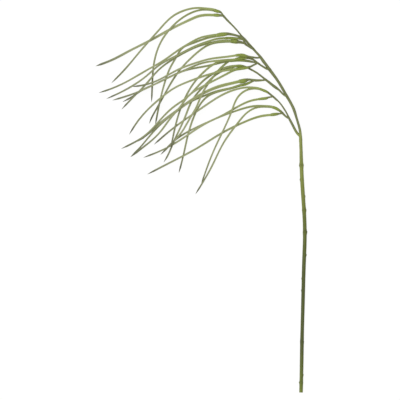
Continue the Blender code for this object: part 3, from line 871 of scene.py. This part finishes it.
def branch_material():
    """Dull green, with painted shade in the creases between its ribs. Its other marks are forks, and where it
    still has the stem's fresh colour.
    """
    made, tree = material("branch_skin")
    mark = marks_of(tree)
    patches = level(tree, grain(tree, 1.4, 30), 0.35, 0.65)
    colour = mix(tree, patches, (0.132, 0.150, 0.052), (0.200, 0.224, 0.084))
    streaks = level(tree, grain(tree, 0.5, 12), 0.45, 0.7, 0.0, 0.5)
    colour = mix(tree, streaks, colour, (0.26, 0.29, 0.12))
    # Painted shade in the creases between the ribs
    colour = mix(tree, times(tree, mark["X"], 0.30), colour, (0.45, 0.47, 0.4), "MULTIPLY")
    colour = mix(tree, times(tree, mark["Y"], 0.5), colour, (0.105, 0.120, 0.030))
    colour = mix(tree, mark["Z"], colour, (0.250, 0.290, 0.072))
    flecks = level(tree, grain(tree, 0.9, 2.0, 4.0), 0.67, 0.73, 0.0, 0.5)
    colour = mix(tree, flecks, colour, (0.14, 0.11, 0.05))
    roughness = level(tree, grain(tree, 0.7, 10), 0.3, 0.7, 0.42, 0.6)
    finish(tree, colour, roughness, grain(tree, 0.3, 7, 4.0), 0.1)
    return made


def sheath_material():
    """Dull twig green that turns to fresh leaf green, with painted shade in its creases and inside its mouth.
    Its other marks are leaf and the lip.
    """
    made, tree = material("sheath_skin")
    mark = marks_of(tree)
    twig = level(tree, grain(tree, 1.0, 20), 0.35, 0.65)
    twig = mix(tree, twig, (0.128, 0.142, 0.050), (0.190, 0.210, 0.080))
    leaf = level(tree, grain(tree, 1.2, 25), 0.35, 0.65)
    leaf = mix(tree, leaf, (0.196, 0.250, 0.034), (0.272, 0.336, 0.062))
    colour = mix(tree, mark["Y"], twig, leaf)
    streaks = level(tree, grain(tree, 0.35, 14), 0.45, 0.7, 0.0, 0.5)
    colour = mix(tree, streaks, colour, (0.35, 0.41, 0.12))
    # Painted shade in the creases and inside the mouth
    colour = mix(tree, times(tree, mark["X"], 0.4), colour, (0.45, 0.5, 0.3), "MULTIPLY")
    colour = mix(tree, times(tree, mark["Z"], 0.7), colour, (0.34, 0.38, 0.16))
    roughness = level(tree, grain(tree, 0.6, 10), 0.3, 0.7, 0.40, 0.56)
    finish(tree, colour, roughness, grain(tree, 0.25, 8, 4.0), 0.08)
    return made


def blade_material():
    """Pale green that dries to a dark point, with painted shade in the groove. Its other marks are the
    underside and the edges.
    """
    made, tree = material("blade_skin")
    mark = marks_of(tree)
    colour = ramp(tree, attribute(tree, "along")["Fac"], BLADE_COLOURS)
    shade = level(tree, grain(tree, 60, 220, 1.0), 0.40, 0.60, 0.0, 0.6)
    colour = mix(tree, shade, colour, (0.70, 0.72, 0.68), "MULTIPLY")
    streaks = level(tree, grain(tree, 0.4, 26), 0.45, 0.68, 0.0, 0.55)
    colour = mix(tree, streaks, colour, (0.42, 0.46, 0.22))
    # Painted shade in the groove along the top
    colour = mix(tree, times(tree, mark["X"], 0.45), colour, (0.50, 0.53, 0.42), "MULTIPLY")
    colour = mix(tree, times(tree, mark["Y"], 0.4), colour, (0.28, 0.30, 0.18))
    colour = mix(tree, times(tree, mark["Z"], 0.35), colour, (0.36, 0.40, 0.20))
    flecks = level(tree, grain(tree, 0.8, 3.0, 4.0), 0.68, 0.74, 0.0, 0.5)
    colour = mix(tree, flecks, colour, (0.15, 0.125, 0.055))
    roughness = level(tree, grain(tree, 0.6, 12), 0.3, 0.7, 0.42, 0.58)
    finish(tree, colour, roughness, grain(tree, 0.22, 10, 4.0), 0.07)
    return made


# Stage, light and camera
def make_stage():
    """A pale floor that glows softly, as a light table does, so that almost no shadow shows on it."""
    half = FLOOR_METRES / 2
    mesh = bpy.data.meshes.new("floor")
    corners = [(-half, -half, 0.0), (half, -half, 0.0), (half, half, 0.0), (-half, half, 0.0)]
    mesh.from_pydata(corners, [], [(0, 1, 2, 3)])
    floor = bpy.data.objects.new("floor", mesh)
    bpy.context.collection.objects.link(floor)
    made, tree = material("floor_white")
    shader = tree.nodes["Principled BSDF"]
    shader.inputs["Base Color"].default_value = FLOOR_COLOUR
    shader.inputs["Roughness"].default_value = 0.9
    shader.inputs["Specular IOR Level"].default_value = 0.0
    shader.inputs["Emission Color"].default_value = WHITE
    shader.inputs["Emission Strength"].default_value = FLOOR_GLOW
    mesh.materials.append(made)


def make_light():
    """White light all round, and a soft key light from the upper left."""
    world = bpy.data.worlds.new("studio")
    bpy.context.scene.world = world
    world.use_nodes = True
    background = world.node_tree.nodes["Background"]
    background.inputs["Color"].default_value = WHITE
    background.inputs["Strength"].default_value = WORLD_LIGHT
    key = bpy.data.lights.new("key", "SUN")
    key.energy = KEY_STRENGTH
    key.angle = np.radians(KEY_SOFTNESS)
    lamp = bpy.data.objects.new("key", key)
    lamp.rotation_euler = (np.radians(KEY_TILT[0]), np.radians(KEY_TILT[1]), 0.0)
    bpy.context.collection.objects.link(lamp)


def make_camera():
    """A camera far above the picture's centre, with the lens that frames the picture from there."""
    data = bpy.data.cameras.new("camera")
    data.sensor_width = SENSOR
    data.lens = SENSOR * CAMERA_METRES / (PICTURE_WIDTH * MM)
    data.clip_end = 10 * CAMERA_METRES
    camera = bpy.data.objects.new("camera", data)
    camera.location = (PICTURE_CENTRE[0] * MM, PICTURE_CENTRE[1] * MM, CAMERA_METRES)
    bpy.context.collection.objects.link(camera)
    bpy.context.scene.camera = camera
    bpy.context.scene.view_settings.view_transform = "Standard"


MATERIALS = {
    "stem": stem_material(),
    "branch": branch_material(),
    "sheath": sheath_material(),
    "blade": blade_material(),
}


def build():
    """Every piece of the spray. A blade's name gives the number of the sheath that it grows out of."""
    limbs, forks = read_limbs()
    make_stem(limbs["stem"])
    for seed, name in enumerate(BRANCHES, 1):
        make_branch(name, limbs[name], forks.get(name, []), seed)
    for seed, name in enumerate(SHEATHS, 11):
        make_sheath(name, limbs[name], forks.get(name, []), seed)
    for seed, name in enumerate(BLADES, 31):
        make_blade(name, limbs["sheath_" + name[6:8]], seed)


make_camera()
make_light()
make_stage()
build()
